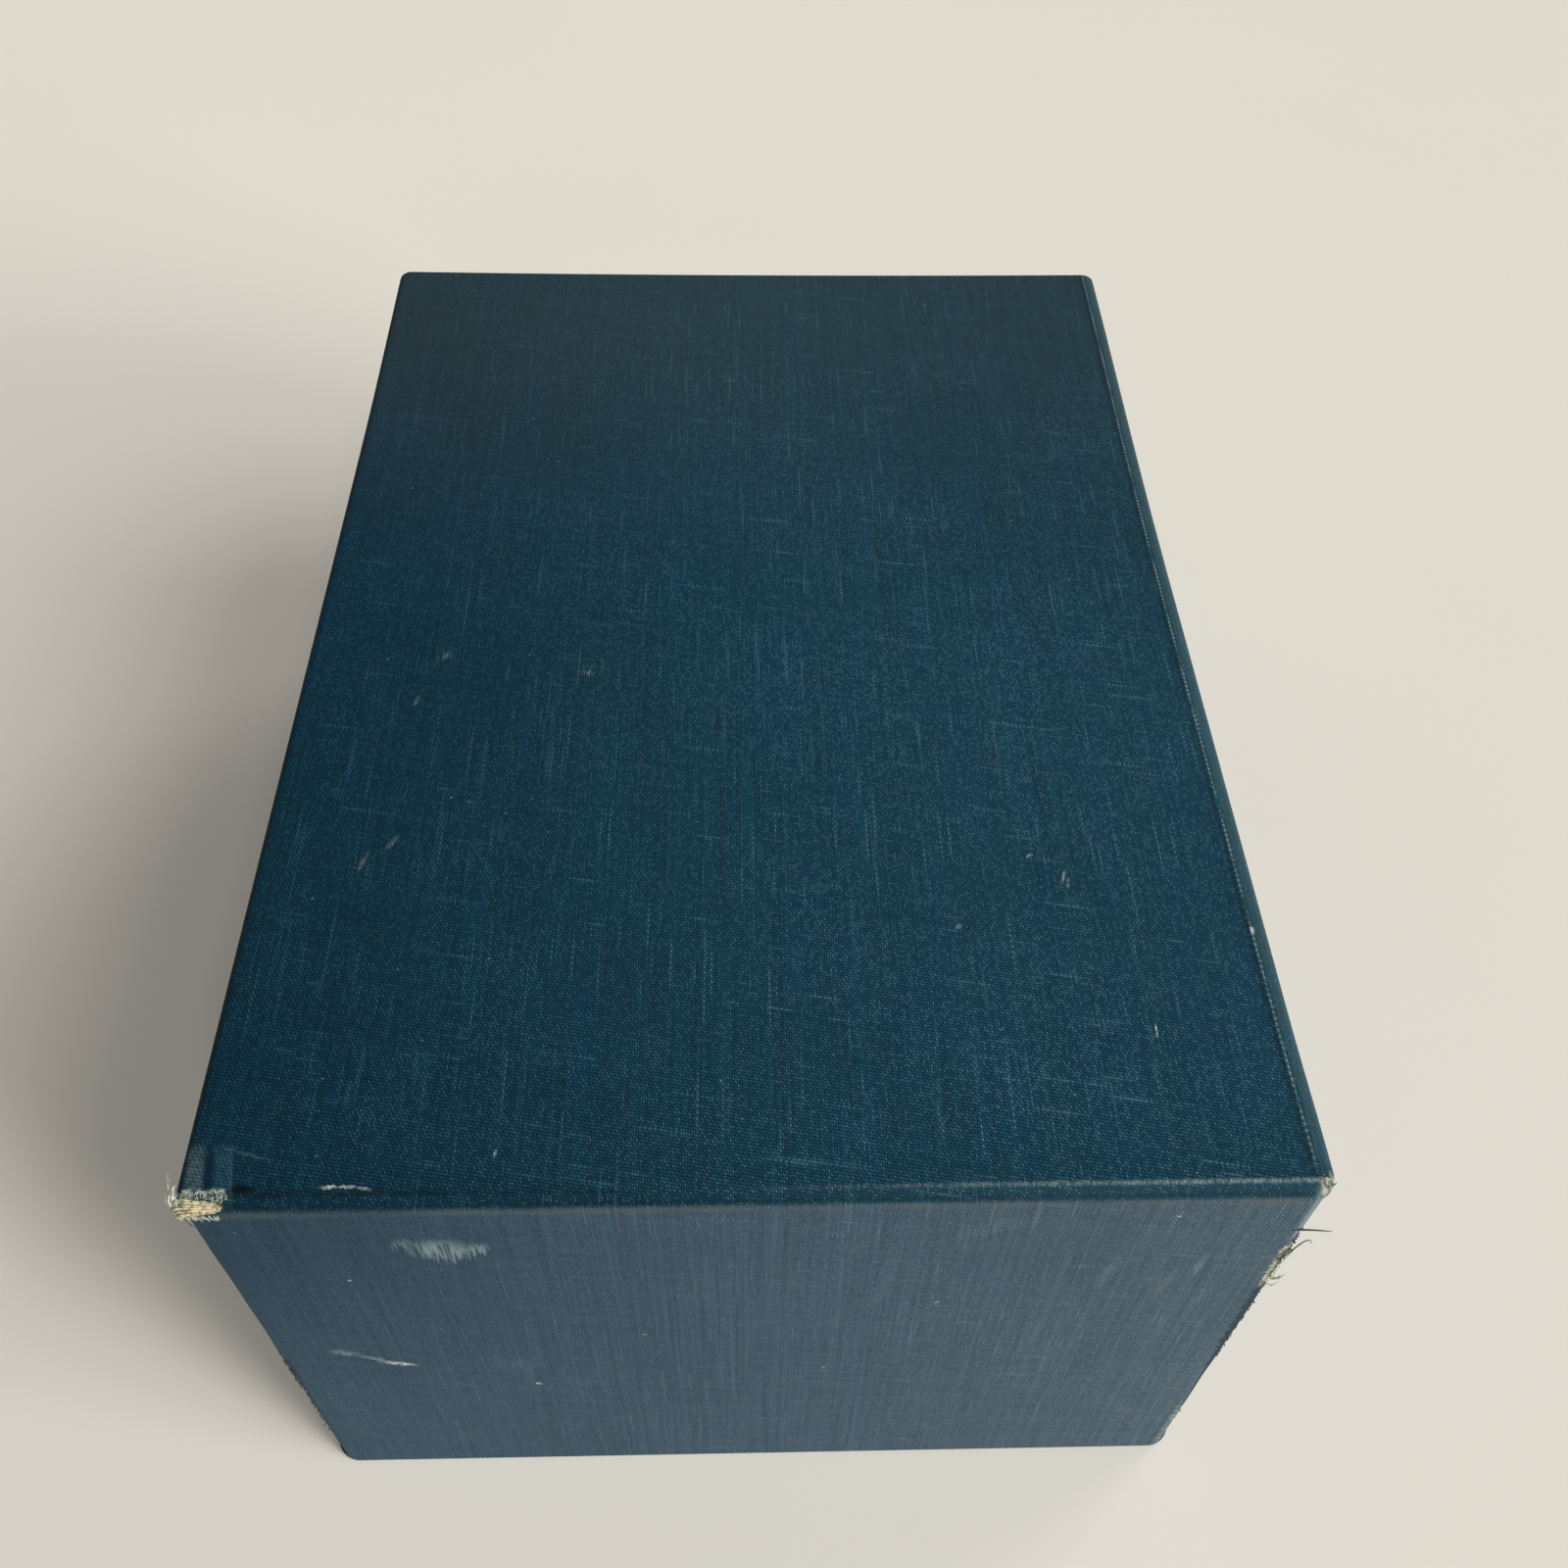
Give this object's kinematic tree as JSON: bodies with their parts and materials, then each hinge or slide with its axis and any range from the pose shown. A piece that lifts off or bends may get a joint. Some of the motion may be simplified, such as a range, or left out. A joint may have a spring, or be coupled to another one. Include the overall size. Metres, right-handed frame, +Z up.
{
  "type": "clamshell book box",
  "caption": "Cloth-covered clamshell box shaped like a thick book, with two nesting trays hinged on a drop spine.",
  "frame": {"origin": "middle of the closed box's bottom face", "axes": "+Z up out of the lid, +Y from the spine to the fore-edge, -X to the head and +X to the tail"},
  "size_m": [0.175, 0.2524, 0.122],
  "materials": {
    "case_cloth": "matte",
    "tray_cloth": "matte",
    "hinge_cloth": "matte",
    "lining_paper": "matte",
    "infill_paper": "matte",
    "binders_board": "matte"
  },
  "bodies": {
    "base": {"base_case_board": "binders_board", "base_case_cloth": "case_cloth", "base_hinge_lining": "hinge_cloth", "base_infill_paper": "infill_paper", "base_tray_floor": "binders_board", "base_tray_head_wall": "binders_board", "base_tray_tail_wall": "binders_board", "base_tray_fore_wall": "binders_board", "base_tray_cloth": "tray_cloth", "base_tray_lining": "lining_paper"},
    "spine": {"spine_board": "binders_board", "spine_cloth": "case_cloth", "spine_hinge_lining": "hinge_cloth"},
    "lid": {"lid_case_board": "binders_board", "lid_case_cloth": "case_cloth", "lid_hinge_lining": "hinge_cloth", "lid_infill_paper": "infill_paper", "lid_tray_floor": "binders_board", "lid_tray_head_wall": "binders_board", "lid_tray_tail_wall": "binders_board", "lid_tray_fore_wall": "binders_board", "lid_tray_cloth": "tray_cloth", "lid_tray_lining": "lining_paper"}
  },
  "joints": [
    {"name": "spine_hinge", "type": "hinge", "parent": "base", "child": "spine", "pos_m": [0, -0.12625, 0], "axis": [1, 0, 0], "range_deg": [0, 90]},
    {"name": "lid_hinge", "type": "hinge", "parent": "spine", "child": "lid", "pos_m": [0, -0.12625, 0.122], "axis": [1, 0, 0], "range_deg": [0, 90]}
  ],
  "couplings": [
    {"joint": "spine_hinge", "follows": "lid_hinge", "ratio": 1}
  ]
}
